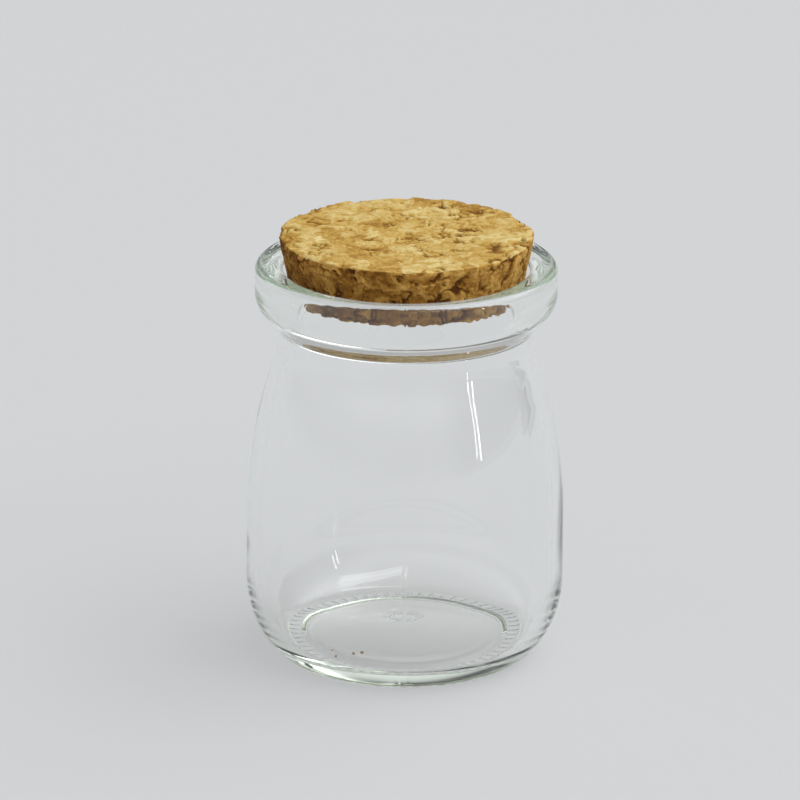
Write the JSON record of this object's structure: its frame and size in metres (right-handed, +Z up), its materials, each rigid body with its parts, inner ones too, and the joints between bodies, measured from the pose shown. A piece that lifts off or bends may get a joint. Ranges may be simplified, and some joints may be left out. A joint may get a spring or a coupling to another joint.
{
  "type": "glass pudding jar",
  "caption": "Small clear glass pudding jar with a rounded collar, sloping shoulders and a knurled foot, empty, closed by a tapered disc of pressed cork.",
  "frame": {"origin": "on the jar's axis, level with the surface that it stands on", "axes": "+Z up along the jar's axis; +X to the right and +Y away from the viewer in the picture"},
  "size_m": [0.061, 0.061, 0.0837],
  "materials": {
    "glass": "clear, smooth, a trace of green where it is thick",
    "cork": "raw pressed cork granules, matt"
  },
  "bodies": {
    "root": {"jar": "glass", "cork": "cork"}
  },
  "joints": []
}
